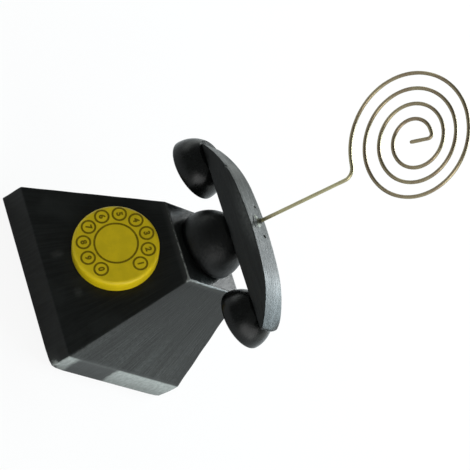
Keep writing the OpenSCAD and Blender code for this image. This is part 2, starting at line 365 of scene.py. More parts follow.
class Nodes:
    """Adds nodes to one node tree and joins them."""

    def __init__(self, tree):
        self.tree = tree

    def node(self, kind, **values):
        """A new node with its settings."""
        made = self.tree.nodes.new(kind)
        for name, value in values.items():
            setattr(made, name, value)
        return made

    def join(self, source, target):
        """Links an output to an input."""
        self.tree.links.new(source, target)

    def place(self, scale=(1, 1, 1), shift=(0, 0, 0), layer=None):
        """The piece's own coordinates in metres, or an attribute that holds others, stretched by
        the scale."""
        if layer is None:
            source = self.node("ShaderNodeTexCoord").outputs["Object"]
        else:
            source = self.node("ShaderNodeAttribute", attribute_name=layer).outputs["Vector"]
        mapping = self.node("ShaderNodeMapping")
        mapping.inputs["Location"].default_value = shift
        mapping.inputs["Scale"].default_value = scale
        self.join(source, mapping.inputs["Vector"])
        return mapping.outputs["Vector"]

    def parts(self, vector):
        """The X, Y and Z of a vector."""
        split = self.node("ShaderNodeSeparateXYZ")
        self.join(vector, split.inputs["Vector"])
        return tuple(split.outputs)

    def noise(self, vector=None, scale=1.0, detail=3.0, rough=0.5, distortion=0.0):
        """A noise over a vector, or else over the piece's own coordinates."""
        made = self.node("ShaderNodeTexNoise")
        made.inputs["Scale"].default_value = scale
        made.inputs["Detail"].default_value = detail
        made.inputs["Roughness"].default_value = rough
        made.inputs["Distortion"].default_value = distortion
        self.join(self.place() if vector is None else vector, made.inputs["Vector"])
        return made.outputs["Fac"]

    def span(self, value, low, high, to_low=0.0, to_high=1.0):
        """Maps the stretch from low to high smoothly onto another, and holds it at the ends."""
        made = self.node("ShaderNodeMapRange", interpolation_type="SMOOTHSTEP")
        made.inputs["From Min"].default_value = low
        made.inputs["From Max"].default_value = high
        made.inputs["To Min"].default_value = to_low
        made.inputs["To Max"].default_value = to_high
        self.join(value, made.inputs["Value"])
        return made.outputs["Result"]

    def maths(self, operation, first, *others):
        """Joins values by one operation, each a plain number or another node's."""
        for second in others:
            made = self.node("ShaderNodeMath", operation=operation)
            for socket, value in zip(made.inputs, (first, second)):
                if isinstance(value, (int, float)):
                    socket.default_value = value
                else:
                    self.join(value, socket)
            first = made.outputs["Value"]
        return first

    def times(self, *values):
        """The product of the values."""
        return self.maths("MULTIPLY", *values)

    def plus(self, *values):
        """The sum of the values."""
        return self.maths("ADD", *values)

    def largest(self, *values):
        """The largest of the values."""
        return self.maths("MAXIMUM", *values)

    def mix(self, amount, first, second):
        """Mixes two colours, each a plain colour or another node's."""
        made = self.node("ShaderNodeMix", data_type="RGBA")
        self.join(amount, made.inputs["Factor"])
        for socket, value in ((made.inputs[6], first), (made.inputs[7], second)):
            if isinstance(value, bpy.types.NodeSocket):
                self.join(value, socket)
            else:
                socket.default_value = (*value, 1)
        return made.outputs[2]

    def attribute(self, name):
        """A number that the piece holds for each point."""
        return self.node("ShaderNodeAttribute", attribute_name=name).outputs["Fac"]

    def bump(self, height, strength, distance, below=None):
        """A normal tilted by a height, on top of another bump's where one lies below."""
        made = self.node("ShaderNodeBump")
        made.inputs["Strength"].default_value = strength
        made.inputs["Distance"].default_value = distance
        self.join(height, made.inputs["Height"])
        if below is not None:
            self.join(below, made.inputs["Normal"])
        return made.outputs["Normal"]

    def spot(self, mark):
        """1 at the mark's place and 0 from its reach on."""
        away = self.node("ShaderNodeVectorMath", operation="LENGTH")
        shift = [-part * factor for part, factor in zip(mark.place, mark.stretch)]
        self.join(self.place(scale=mark.stretch, shift=shift), away.inputs[0])
        return self.span(away.outputs["Value"], mark.reach, 0)


class Finish(Nodes):
    """A procedural material, built node by node round one Principled shader."""

    def __init__(self, name, **sockets):
        self.material = bpy.data.materials.new(name)
        self.material.use_nodes = True
        super().__init__(self.material.node_tree)
        self.shader = self.tree.nodes["Principled BSDF"]
        for socket, value in sockets.items():
            self.shader.inputs[socket.replace("_", " ")].default_value = value

    def feed(self, socket, source):
        """Links an output to one of the shader's inputs."""
        self.join(source, self.shader.inputs[socket])


def scaled(value, factor):
    """A colour made lighter or darker."""
    return tuple(min(1.0, part * factor) for part in value)


def black_paint(name, grain_axis, colours, roughness, grain_bump, shade, block_dust_and_sheen=False, marks=()):
    """Black stain under satin varnish: fine grain streaks along one axis, pores, a soft haze in
    the gloss, and worn wood, whose pale colour also paints highlights. The shade scales the
    stain's colour for the piece, lighter or darker. block_dust_and_sheen is for the block: its
    grain follows its tapered sides, and it gets thin dust on its right side with a painted
    reflection of the floor that grows towards the foot, a pale patch on its foot band that is a
    painted reflection of the floor, and a smoother, thinner varnish on its top."""
    finish = Finish(name, IOR=1.3)
    across, along = 1100.0, 90.0
    grain = [across] * 3
    grain["XYZ".index(grain_axis)] = along
    layer = "taper" if block_dust_and_sheen else None
    streaks = finish.noise(finish.place(grain, layer=layer), rough=0.6, distortion=0.6)
    soft_grain = [0.3 * part for part in grain]
    mottle = finish.noise(finish.place(soft_grain, layer=layer), detail=2, distortion=0.2)
    fine = finish.noise(scale=2600, detail=2, rough=0.6)
    cloud = finish.noise(scale=75, distortion=0.4)
    ragged = finish.noise(scale=900, detail=4, rough=0.7)

    stain = scaled(colours.paint, shade)
    ground = finish.mix(finish.span(streaks, 0.35, 0.7), scaled(stain, 0.75), scaled(stain, 1.5))
    ground = finish.mix(finish.span(cloud, 0.45, 0.75), ground, scaled(stain, 1.9))
    # Pale worn wood where paint is chipped, plus a faint painted highlight along worn edges and
    # in some marks.
    ground = finish.mix(worn_paint_and_sheen(finish, ragged, marks), ground, colours.worn)
    dull = finish.plus(finish.times(streaks, 0.15), finish.span(mottle, 0.25, 0.75, 0, 0.07),
                       finish.span(cloud, 0.3, 0.75, roughness - 0.1, roughness + 0.02))
    relief = streaks
    if block_dust_and_sheen:
        x, y, z = finish.parts(finish.place())
        # Dust on the right side, with a painted reflection of the floor that pales towards the
        # foot, then a painted reflection of the floor on the foot band.
        ground = finish.mix(side_dust_and_sheen(finish, x, z, mottle, ragged), ground, colours.block_dust_and_sheen)
        ground = finish.mix(band_painted_reflection(finish, x, y, z), ground, colours.block_dust_and_sheen)
        near_top = (z, BODY_HIGH.z - 0.3 * MM, BODY_HIGH.z - 0.1 * MM)
        dull = finish.plus(dull, finish.span(*near_top, 0, -0.14))
        finish.feed("Specular IOR Level", finish.span(*near_top, 0.5, 0.28))
        relief = finish.times(streaks, finish.attribute("side_grain"))
    finish.feed("Base Color", ground)
    finish.feed("Roughness", dull)
    lift = finish.bump(relief, grain_bump, 0.3 * MM)
    lift = finish.bump(fine, grain_bump * 0.6, 0.12 * MM, below=lift)
    finish.feed("Normal", finish.bump(cloud, 0.25, 0.5 * MM, below=lift))
    return finish.material


def worn_paint_and_sheen(finish, ragged, marks):
    """How much of the pale worn colour is mixed in: all of it where the wear_and_sheen attribute
    and a ragged noise are both high, which are chips, a little of it over the rest of the
    attribute, which is a painted highlight along the edges, and some of it in the marks."""
    wear_and_sheen = finish.attribute("wear_and_sheen")
    chipped = finish.span(finish.plus(wear_and_sheen, finish.times(ragged, 1.2)), 1.05, 1.35)
    # A faint painted highlight along the edges, beside the chips.
    gone_and_sheen = finish.largest(chipped, finish.times(wear_and_sheen, 0.3))
    for mark in marks:
        patchy = finish.span(ragged, 0.3, 0.7, 0.4, 1.0)
        gone_and_sheen = finish.largest(gone_and_sheen, finish.times(finish.spot(mark), mark.strength, patchy))
    return gone_and_sheen


def side_dust_and_sheen(finish, x, z, mottle, speckle):
    """Thin dust on the block, mostly on its right side and gathered along the grain, with a
    painted reflection of the floor that grows towards the foot. How far a point lies out from
    the block's middle, square to that side, tells the side."""
    outward_x, outward_z = 0.903, 0.431
    outward = finish.plus(finish.times(x, outward_x), finish.times(z, outward_z))
    on_right = finish.span(outward, 29.8 * MM, 30.4 * MM, 0.12, 1.0)
    # Painted reflection of the floor: paler towards the foot.
    dust = finish.span(z, 38 * MM, 5 * MM, 0.0, 0.04)
    along_grain = finish.span(mottle, 0.3, 0.7, 0.3, 1.5)
    return finish.times(dust, along_grain, finish.span(speckle, 0.3, 0.7, 0.4, 1.7), on_right)


def band_painted_reflection(finish, x, y, z):
    """A pale patch on the foot band's right side, a painted reflection of the floor with a
    mottle:
    it fills the back half and the front end of the band and leaves a dark stretch between them,
    with ragged slanting limits, and is paler upwards."""
    ragged = finish.noise(scale=260)
    depth = finish.plus(y, finish.times(ragged, 5 * MM))
    back_half = finish.span(depth, -2.5 * MM, 0.5 * MM)
    front_end = finish.span(depth, -19 * MM, -23 * MM)
    dark_stretch = 0.05
    # How much of the painted reflection lies along the band.
    cover = finish.largest(back_half, finish.times(front_end, 0.9), dark_stretch)
    paler_up = finish.span(z, 0.5 * MM, 7 * MM, 0.62, 1.03)
    on_band = finish.span(z, 8.0 * MM, 7.4 * MM)
    on_right = finish.span(x, 29.6 * MM, 29.9 * MM)
    mottle = finish.span(finish.noise(scale=700, detail=4, rough=0.65), 0.2, 0.8, 0.55, 1.0)
    return finish.times(cover, paler_up, on_band, on_right, mottle)


def dial_paint(colours):
    """Yellow satin paint with a faint mottle, a few brush ripples and dust in the gloss."""
    finish = Finish("yellow_dial_paint", IOR=1.33)
    mottle = finish.noise(scale=190)
    fine = finish.noise(scale=1900, rough=0.6)
    ground = finish.mix(finish.span(mottle, 0.35, 0.7), scaled(colours.dial, 0.93),
                        scaled(colours.dial, 1.07))
    ground = finish.mix(finish.span(fine, 0.55, 0.8), ground, scaled(colours.dial, 0.86))
    finish.feed("Base Color", ground)
    finish.feed("Roughness", finish.span(fine, 0.2, 0.8, 0.36, 0.5))
    lift = finish.bump(fine, 0.15, 0.05 * MM)
    finish.feed("Normal", finish.bump(mottle, 0.2, 0.3 * MM, below=lift))
    return finish.material


def dial_ink(colours):
    """Dark olive print, a little thin in places."""
    finish = Finish("dial_ink", Roughness=0.5, IOR=1.25)
    patchy = finish.span(finish.noise(scale=1400, rough=0.6), 0.4, 0.75)
    finish.feed("Base Color", finish.mix(patchy, scaled(colours.ink, 0.85),
                                         scaled(colours.ink, 1.5)))
    return finish.material


def wire_brass(colours):
    """Brass wire under a brown film that lies unevenly along it, with fine drawing marks."""
    finish = Finish("tarnished_brass", Metallic=1.0)
    patches = finish.noise(scale=150, detail=4, distortion=0.6)
    specks = finish.noise(scale=2400, rough=0.7)
    cover = finish.plus(finish.span(patches, 0.3, 0.7, -0.15, 0.15),
                       finish.span(specks, 0.5, 0.75, 0.0, 0.3), finish.attribute("age"))
    finish.feed("Base Color", finish.mix(cover, colours.brass, colours.tarnish))
    finish.feed("Roughness", finish.span(specks, 0.3, 0.75, 0.26, 0.5))
    finish.feed("Normal", finish.bump(specks, 0.2, 0.04 * MM))
    return finish.material


def nail_steel():
    """Dull steel with brown rust in its pits."""
    finish = Finish("nail_steel", Metallic=1.0)
    steel, rust = (0.035, 0.034, 0.032), (0.02, 0.014, 0.01)
    pits = finish.noise(scale=2200, detail=4, rough=0.7)
    finish.feed("Base Color", finish.mix(finish.span(pits, 0.4, 0.65), steel, rust))
    finish.feed("Roughness", finish.span(pits, 0.3, 0.7, 0.6, 0.8))
    finish.feed("Normal", finish.bump(pits, 0.4, 0.06 * MM))
    return finish.material


def dried_glue():
    """Clear glue dried satin over the black paint, pale in its thick blobs: cloudy glue and a
    painted highlight.
    """
    finish = Finish("dried_glue", IOR=1.33)
    clear, milk_and_highlight = (0.03, 0.028, 0.017), (0.33, 0.35, 0.29)
    cloud = finish.noise(scale=1200, distortion=0.8)
    milk = finish.plus(finish.attribute("milk_and_highlight"), finish.times(cloud, 0.5))
    # Pale on the blobs: cloudy glue and a painted highlight.
    finish.feed("Base Color", finish.mix(finish.span(milk, 0.35, 1.2), clear, milk_and_highlight))
    finish.feed("Roughness", finish.span(cloud, 0.3, 0.7, 0.4, 0.55))
    finish.feed("Normal", finish.bump(cloud, 0.1, 0.1 * MM))
    return finish.material


def bare_wood():
    """Pale turned wood, grain along the dowel."""
    finish = Finish("bare_dowel_wood", Roughness=0.62)
    dark, pale = (0.5, 0.34, 0.18), (0.72, 0.55, 0.34)
    grain = finish.noise(finish.place((1400, 1400, 60)), detail=4, rough=0.6)
    finish.feed("Base Color", finish.mix(finish.span(grain, 0.3, 0.7), dark, pale))
    finish.feed("Normal", finish.bump(grain, 0.4, 0.1 * MM))
    return finish.material


def build_block(scene):
    """The tapered block: rounded rectangles stacked up Z. Up to the foot band they keep their
    size. Above it each side runs straight to the top face, and a soft step about as wide as the
    edge rounding turns one into the other. Quarter circles round the foot and the top edge, and
    a bell-shaped loss wears the two right foot corners back."""
    block = scene.memo_block
    round_ = block.edge_round
    height = BODY_HIGH.z
    rise = height - block.plinth_height
    foot_half = np.array([BODY_HIGH.x, BODY_HIGH.y])
    top_half = np.full(2, block.top_width / 2)
    top_middle = np.array([0, block.top_back])

    quarter = np.linspace(0, math.pi / 2, 7)
    near_band = block.plinth_height + round_ * np.linspace(-3, 3, 17)
    band = np.linspace(round_, near_band[0], 5)[1:-1]
    slope = np.linspace(near_band[-1], height - round_, 26)[1:-1]
    level = np.concatenate([round_ * (1 - np.cos(quarter)), band, near_band, slope,
                            height - round_ * (1 - np.sin(quarter))])
    inset = np.zeros(len(level))
    inset[:len(quarter)] = round_ * (1 - np.sin(quarter))
    inset[-len(quarter):] = round_ * (1 - np.cos(quarter))

    soft = round_ * 0.35
    climb = soft * np.logaddexp(0, (level - block.plinth_height) / soft)
    part = (climb / rise)[:, None]
    half = foot_half + (top_half - foot_half) * part - inset[:, None]
    uneven_round = round_ * (1 + 0.35 * np.sin(level * 700))
    side_shares = [0.012, 0.03, *np.linspace(0.1, 0.9, 17), 0.97, 0.988]
    outline = rounded_rings(half, top_middle * part, uneven_round, 6, side_shares)
    levels = np.broadcast_to(level[:, None, None], (*outline.shape[:2], 1))
    rings = np.concatenate([outline, levels], axis=2)

    lowest, inner = rings[:1], rings[-1:]
    centre = inner.mean(1, keepdims=True)
    top_face = [centre + (inner - centre) * shrink for shrink in (0.97, 0.7, 0.3)]
    foot_face = [lowest * (shrink, shrink, 1) for shrink in (0.3, 0.9)]
    rings = np.concatenate([*foot_face, rings, *top_face])

    corner_reach = 1.6 * MM
    for depth, lost in ((BODY_LOW.y, 0.6), (BODY_HIGH.y, 0.3)):
        away = rings - np.array([BODY_HIGH.x, depth, 0])
        near = np.exp(-(away ** 2).sum(-1, keepdims=True) / (2 * corner_reach ** 2))
        inward = np.array([-1, -np.sign(depth), 0.25]) / 1.44
        rings = rings + near * inward * block.corner_loss * lost
    piece = closed_surface("block", rings)

    points = mesh_points(piece.data)
    set_attribute(piece, "wear_and_sheen", block_wear_and_sheen(points, block))
    climbed = np.clip((points[:, 2] - block.plinth_height) / rise, 0, 1)
    side = foot_half + (top_half - foot_half) * climbed[:, None]
    across = (points[:, :2] - top_middle * climbed[:, None]) / side * foot_half
    set_attribute(piece, "taper", np.column_stack([across, points[:, 2]]))
    on_side = bell(side[:, 0] - np.abs(points[:, 0]), 0.6 * MM)
    set_attribute(piece, "side_grain", 0.12 + 0.88 * on_side * (climbed > 0.02))
    return piece


def block_wear_and_sheen(points, block):
    """How pale the paint is made at each point, as chipped wear and as a painted highlight along
    the edges: its front and right top edges, more towards the corner that they share, the
    right edge of its foot band and its front right foot corner. Each edge fades as a bell curve
    with the distance from its line."""
    x, y, z = points.T
    half = block.top_width / 2
    front = block.top_back - half
    from_top = (z - BODY_HIGH.z) ** 2
    reach = 2 * (0.38 * MM) ** 2
    along_front = np.interp(x, [-half, half - 6 * MM, half], [0.5, 0.75, 1.05])
    front_edge = np.exp(-(from_top + (y - front) ** 2) / reach) * along_front
    along_right = np.interp(y, [front, front + 12 * MM, front + 20 * MM], [1.0, 0.85, 0.5])
    right_edge = np.exp(-(from_top + (x - half) ** 2) / reach) * along_right
    from_band = (z - block.plinth_height) ** 2 + (x - BODY_HIGH.x) ** 2
    band_edge = 0.34 * np.exp(-from_band / reach)
    # The top front right corner: chipped paint and a painted highlight.
    top_corner = wear_and_sheen_at(points, (half, front, BODY_HIGH.z), 0.7 * MM)
    foot_corner = wear_and_sheen_at(points, (BODY_HIGH.x, BODY_LOW.y, 1.5 * MM), 1.6 * MM)
    return np.max([front_edge, right_edge, band_edge, top_corner, foot_corner], axis=0)


def wear_and_sheen_at(points, place, reach):
    """A pale mark that fades as a bell curve round a place: wear, and on a lit corner a painted
    highlight too.
    """
    away = ((points - np.asarray(place)) ** 2).sum(-1)
    return 1.1 * np.exp(-away / (2 * reach ** 2))


def block_scuffs(block):
    """Two scuffs low on the sloping front, a chip on the front top edge and one on the right
    top edge."""
    right = block.top_width / 2 / MM
    front = block.top_back / MM - right
    top = BODY_HIGH.z / MM
    return [
        PaleMark((-4.5, -25.7, 11.8), 1.9, 0.13, (1, 0.6, 0.6)),
        PaleMark((9.6, -23.8, 14.1), 1.5, 0.13, (0.6, 1, 0.5)),
        PaleMark((3.8, front, top), 0.7, 0.8),
        PaleMark((right - 0.3, front + 2, top), 0.8, 0.9),
    ]


def dial_frame(scene):
    """The middle of the dial's back on the sloping front, and the slope's tilt."""
    block, dial = scene.memo_block, scene.memo_dial
    rise = BODY_HIGH.z - block.plinth_height
    run = BODY_HIGH.y + block.top_back - block.top_width / 2
    tilt = math.atan2(rise, run)
    middle = Vector((dial.sideways, BODY_LOW.y + math.cos(tilt) * dial.up_slope,
                     block.plinth_height + math.sin(tilt) * dial.up_slope))
    return middle, tilt


def build_dial(scene):
    """The dial disc: a revolved profile with a quarter circle round its front edge and a tiny
    one round its back edge."""
    dial = scene.memo_dial
    back_round = 0.15 * MM
    back = arc((dial.radius - back_round, back_round), back_round, -math.pi / 2, 0, 4)
    front = arc((dial.radius - dial.edge_round, dial.thickness - dial.edge_round),
                dial.edge_round, 0, math.pi / 2, 14)
    flats = [[0.5 * dial.radius, dial.thickness], [0.1 * dial.radius, dial.thickness]]
    profile = np.concatenate([[[0.5 * dial.radius, 0]], back, front, flats])
    return closed_surface("dial", put(revolve(profile, 160), *dial_frame(scene)))


def printed_ring(centre, radius, dial, steps):
    """Points and faces of a flat closed band of ink: a small rectangle, half sunk in the dial's
    face, carried round a circle."""
    turn = np.linspace(0, 2 * math.pi, steps, endpoint=False)
    away = radius + dial.line_width / 2 * np.array([1, 1, -1, -1])
    height = dial.thickness + dial.ink_height * np.array([-1, 1, 1, -1])
    points = np.stack([centre[0] + np.outer(np.cos(turn), away),
                       centre[1] + np.outer(np.sin(turn), away),
                       np.broadcast_to(height, (steps, 4))], -1).reshape(-1, 3)
    step, side = np.meshgrid(np.arange(steps), np.arange(4), indexing="ij")
    after, next_side = (step + 1) % steps, (side + 1) % 4
    faces = np.stack([step * 4 + side, after * 4 + side, after * 4 + next_side,
                      step * 4 + next_side], -1)
    return points, faces.reshape(-1, 4).tolist()


def printed_digit(digit, centre, dial):
    """Points and faces of one number, a thin slab of ink in the middle of its ring. A number is
    as high as the digit share of its font size."""
    digit_share = 0.73
    curve = bpy.data.curves.new("digit", "FONT")
    curve.body = digit
    curve.size = dial.digit_height / digit_share
    curve.align_x = "CENTER"
    curve.align_y = "CENTER"
    curve.extrude = dial.ink_height
    curve.offset = dial.digit_weight
    curve.resolution_u = 6
    text = bpy.data.objects.new("digit", curve)
    mesh = bpy.data.meshes.new_from_object(text)
    mesh.transform(Matrix.Translation((*centre, dial.thickness)))
    points = mesh_points(mesh)
    faces = [list(polygon.vertices) for polygon in mesh.polygons]
    bpy.data.meshes.remove(mesh)
    bpy.data.objects.remove(text)
    bpy.data.curves.remove(curve)
    return points, faces


def ink_piece(name, parts, scene):
    """One piece of print, joined from parts that each give their points and faces, and laid on
    the dial's face."""
    faces, count = [], 0
    for points, part_faces in parts:
        faces.extend([count + corner for corner in face] for face in part_faces)
        count += len(points)
    mesh = bpy.data.meshes.new(name)
    mesh.from_pydata(np.concatenate([points for points, _ in parts]).tolist(), [], faces)
    middle, tilt = dial_frame(scene)
    mesh.transform(Matrix.Translation(middle) @ Matrix.Rotation(tilt, 4, "X"))
    return link(name, mesh)


def build_print(scene):
    """The dial's print, a thin layer of ink on its face: one large ring, ten small rings on a
    circle, and the numbers 1 to 9 and 0 in them, upright as seen by who faces the dial."""
    dial = scene.memo_dial
    hub = np.array([dial.print_right, dial.print_up])
    centres = hub + dial.ring_circle * heading(dial.first_ring + dial.ring_step * np.arange(10))
    rings = [printed_ring(hub, dial.hub_radius, dial, 120)]
    rings += [printed_ring(centre, dial.ring_radius, dial, 48) for centre in centres]
    digits = [printed_digit(digit, centre, dial) for digit, centre in zip("1234567890", centres)]
    return [ink_piece("dial_rings", rings, scene), ink_piece("dial_numbers", digits, scene)]


def ball_profile(radius, rim, height, foot_round, steps=56):
    """Profile of a ball cut off flat at its foot and its top: a small arc round the foot's edge
    that touches the ball from inside, the ball itself, widest at the rim, and its top edge."""
    top_flat = 0.1 * MM
    middle = math.sqrt((radius - foot_round) ** 2 - (rim - foot_round) ** 2)
    touch = math.atan2(foot_round - rim, middle)
    top = math.asin((height - rim) / radius)
    foot = arc((middle, foot_round), foot_round, -math.pi / 2, touch, 8)
    ball = arc((0, rim), radius, touch, top, steps)[1:]
    return np.concatenate([[[middle * 0.5, 0]], foot, ball, [[ball[-1, 0] - top_flat, height]]])


def build_ball(name, box, rim, foot_round):
    """The neck or a knob, unworn, in its box: a ball cut off flat at its foot and its top,
    revolved. The rim is the height of its widest ring."""
    low, high = box
    profile = ball_profile((high.x - low.x) / 2, rim, high.z - low.z, foot_round)
    place = ((low.x + high.x) / 2, (low.y + high.y) / 2, low.z)
    piece = closed_surface(name, put(revolve(profile, 128), place))
    set_attribute(piece, "wear_and_sheen", np.zeros(len(piece.data.vertices)))
    return piece


def neck_dust_and_highlights():
    """Pale marks on the neck: a painted reflection of the pale surroundings on its left side, two
    dust spots, a grey smear low on its right and two painted highlights on its front.
    """
    return [
        # painted reflection of the pale surroundings on the neck's left side
        PaleMark((-8.2, 4.7, 44.9), 2.4, 0.14),
        # two dust spots
        PaleMark((3.2, 9.5, 53.5), 0.8, 0.22),
        PaleMark((11.0, 11.5, 41.6), 0.7, 0.3),
        # a grey smear low on the neck's right
        PaleMark((9.8, 11.4, 48.8), 2.2, 0.1, (1, 1, 0.6)),
        # two painted highlights on the neck's front
        PaleMark((5.4, 3.9, 48.4), 1.5, 0.05),
        PaleMark((6.2, 5.7, 50), 2.4, 0.05, (0.5, 1, 1.6)),
    ]


def arch_height(across, handset):
    """Height of the board above its flat underside, by the distance from its middle: a crown arc
    that runs tangent into two tighter shoulder arcs, which end on the blunt ends. The difference
    of the two radii solves a quadratic."""
    half = (BOARD_HIGH.x - BOARD_LOW.x) / 2
    height = BOARD_HIGH.z - BOARD_LOW.z
    shoulder, turn = handset.shoulder_radius, handset.crown_angle
    drop = handset.end_height - height + shoulder
    squared = math.sin(turn) ** 2 + (1 - math.cos(turn)) ** 2
    linear = 2 * drop * (1 - math.cos(turn)) - 2 * half * math.sin(turn)
    constant = half ** 2 + drop ** 2 - shoulder ** 2
    step = (-linear - math.sqrt(linear ** 2 - 4 * squared * constant)) / (2 * squared)
    crown = shoulder + step
    across = np.abs(across)
    over_crown = height - crown + np.sqrt(crown ** 2 - across ** 2)
    from_shoulder = np.clip(across - step * math.sin(turn), 0, shoulder)
    over_shoulder = (height - crown + step * math.cos(turn)
                     + np.sqrt(shoulder ** 2 - from_shoulder ** 2))
    return np.where(across < crown * math.sin(turn), over_crown, over_shoulder)


def build_board(scene):
    """The handset board: rounded rectangles carried along X, flat below, whose height follows
    the arch. The last ones shrink in a quarter circle to close the blunt ends."""
    handset = scene.memo_handset
    half = (BOARD_HIGH.x - BOARD_LOW.x) / 2
    centre = (BOARD_LOW + BOARD_HIGH) / 2
    end_round = 0.22 * MM
    quarter = np.linspace(0, math.pi / 2, 6)
    inner = (half - end_round) * np.linspace(-1, 1, 261)
    end = half - end_round * (1 - np.sin(quarter))
    across = np.concatenate([-end[::-1], inner[1:-1], end])
    inset = np.zeros(len(across))
    inset[:len(quarter)] = end_round * (1 - np.cos(quarter[::-1]))
    inset[-len(quarter):] = end_round * (1 - np.cos(quarter))
    height = arch_height(across, handset)
    depth_half = np.full(len(across), (BOARD_HIGH.y - BOARD_LOW.y) / 2)
    halves = np.stack([depth_half, height / 2], -1) - inset[:, None]
    middles = np.stack([np.full(len(across), centre.y), BOARD_LOW.z + height / 2], -1)
    radius = np.minimum(handset.edge_round, halves[:, 1] * 0.9)
    side_shares = np.concatenate([np.linspace(0.04, 0.5, 13), np.linspace(0.52, 0.96, 45)])
    outline = rounded_rings(halves, middles, radius, 6, side_shares)
    along = np.broadcast_to((centre.x + across)[:, None, None], (*outline.shape[:2], 1))
    rings = np.concatenate([along, outline], axis=2)

    depth = (rings[..., 1] - BOARD_LOW.y) / (BOARD_HIGH.y - BOARD_LOW.y)
    towards_end = np.clip((rings[..., 0] - BOARD_HIGH.x) / (5 * MM) + 1, 0, 1)
    towards_back = np.clip(depth * 1.6 - 0.6, 0, 1)
    rings[..., 0] -= handset.corner_loss * towards_back ** 2 * towards_end ** 2
    rings[..., 2] -= board_dents(rings, scene)
    piece = closed_surface("handset_board", rings)

    points = mesh_points(piece.data)
    top = BOARD_LOW.z + arch_height(np.clip(points[:, 0] - centre.x, -half, half), handset)
    from_edge = np.hypot(points[:, 1] - BOARD_LOW.y, points[:, 2] - top)
    from_end = half - np.abs(points[:, 0] - centre.x)
    # A faint pale line along the front top edge, away from the ends: chips and a painted
    # highlight on the edge.
    edge = bell(from_edge, 0.4 * MM) * np.clip(from_end / (6 * MM) - 0.5, 0, 1)
    set_attribute(piece, "wear_and_sheen", 0.25 * edge)
    return piece


def board_dents(points, scene):
    """Depth of the dents in the board's top: a nick in its front edge, and a dark scored line
    that bends round the front of the wire's foot. Each is deepest on its line and fades as a
    bell curve."""
    x, y, z = np.moveaxis(points, -1, 0)
    nick_depth, score_depth = 0.55 * MM, 0.28 * MM
    nick = bell(x + 19.8 * MM, 0.5 * MM) * bell(y - BOARD_LOW.y, 0.9 * MM)
    from_foot = (x - scene.memo_wire.right) / MM
    line = WIRE_DEPTH - MM * np.interp(from_foot, [-2.6, -1.2, 0.6, 1.7, 3.2],
                                       [2.9, 3.5, 4.1, 4.2, 3.7])
    strength = np.interp(from_foot, [-3, -1.5, 0.8, 2.0, 3.0], [0, 0.25, 0.8, 1, 0])
    score = bell(y - line, 0.24 * MM) * strength
    dents = nick_depth * nick + score_depth * score
    return dents * (z > BOARD_LOW.z + 0.5 * MM)


def nail_places(scene):
    """The two nails stand either side of the wire's foot. Each place is on the underside."""
    offset = scene.memo_fixings.nail_spacing / 2
    return [(scene.memo_wire.right + side * offset, WIRE_DEPTH, BOARD_LOW.z) for side in (-1, 1)]


def build_nail(name, place, scene):
    """A nail: a revolved profile with a point, a shank and a slightly domed head."""
    fixings = scene.memo_fixings
    shank, head = fixings.nail_diameter / 2, fixings.nail_head / 2
    top = BOARD_HIGH.z - BOARD_LOW.z - fixings.nail_sink
    low = top - fixings.nail_length
    profile = np.array([
        [0.02 * MM, low], [shank, low + 2 * shank], [shank, top - shank],
        [head * 0.94, top - shank], [head, top - shank * 0.8], [head, top - shank * 0.45],
        [head * 0.94, top - shank * 0.28], [head * 0.7, top - shank * 0.1], [head * 0.3, top],
    ])
    return closed_surface(name, put(revolve(profile, 32), place), sharp_angle=50)


def nail_hole(place, scene):
    """The pit that is left open in the paint above a nail head, as a cone to cut away."""
    fixings = scene.memo_fixings
    head = fixings.nail_head
    top = BOARD_HIGH.z - BOARD_LOW.z
    spare = 0.02 * MM
    profile = np.array([[head * 0.34, top - fixings.nail_sink - spare],
                        [head * 0.38, top + spare], [head * 0.45, top + 1 * MM]])
    return closed_surface("nail_hole", put(revolve(profile, 32), place))


def turn_between(start, end):
    """The shorter signed turn from one heading to another."""
    return (end - start + math.pi) % (2 * math.pi) - math.pi


def bend(start, toward, turn, radius, steps):
    """Points of a bend that starts at a point with a heading and turns left if the turn is
    above zero, without the start itself."""
    side = math.copysign(math.pi / 2, turn)
    centre = start + radius * heading(toward + side)
    turned = toward + turn * np.arange(1, steps + 1) / steps
    return centre - radius * heading(turned + side)


def wire_route(wire, deep):
    """The wire's middle line in its own plane, as x to the right and y up from the crown: a
    leaning stem, an elbow, a clockwise spiral whose radius shrinks and whose middle drifts by
    a steady amount each turn, a short lead, a hook and a straight tail."""
    drift = np.array([wire.drift, wire.drift])
    stem = math.pi / 2 - wire.stem_lean

    def spiral_heading(turn):
        """Where the spiral heads after so many turns: its drift, the shrinking of its arm and
        the arm's clockwise swing, added up."""
        place = wire.spiral_start - 2 * math.pi * turn
        radius = wire.spiral_radius - wire.turn_pitch * turn
        step = (drift - wire.turn_pitch * heading(place)
                - 2 * math.pi * radius * heading(place + math.pi / 2))
        return math.atan2(step[1], step[0])

    corner = wire.stem_height / math.sin(stem) * heading(stem)
    elbow_turn = turn_between(stem, spiral_heading(0))
    elbow = corner - wire.elbow_radius * math.tan(elbow_turn / 2) * heading(stem)
    turn = np.linspace(0, wire.turns, math.ceil(wire.turns * 120) + 1)[:, None]
    place = wire.spiral_start - 2 * math.pi * turn[:, 0]
    arm = (wire.spiral_radius - wire.turn_pitch * turn) * heading(place)
    first = corner + wire.spiral_lead * heading(spiral_heading(0))
    spiral = first - arm[0] + drift * turn + arm
    inner = spiral_heading(wire.turns)
    hook_start = spiral[-1] + wire.hook_lead * heading(inner)
    hook = bend(hook_start, inner, turn_between(inner, wire.hook_end), wire.hook_radius, 16)
    foot = -deep / math.sin(stem) * heading(stem)
    shaft = foot + (elbow - foot) * np.linspace(0, 1, 40)[:, None]
    tail = hook[-1] + wire.tail * np.linspace(0, 1, 12)[1:, None] * heading(wire.hook_end)
    return np.concatenate([shaft, bend(elbow, stem, elbow_turn, wire.elbow_radius, 14), spiral,
                           hook_start[None], hook, tail])


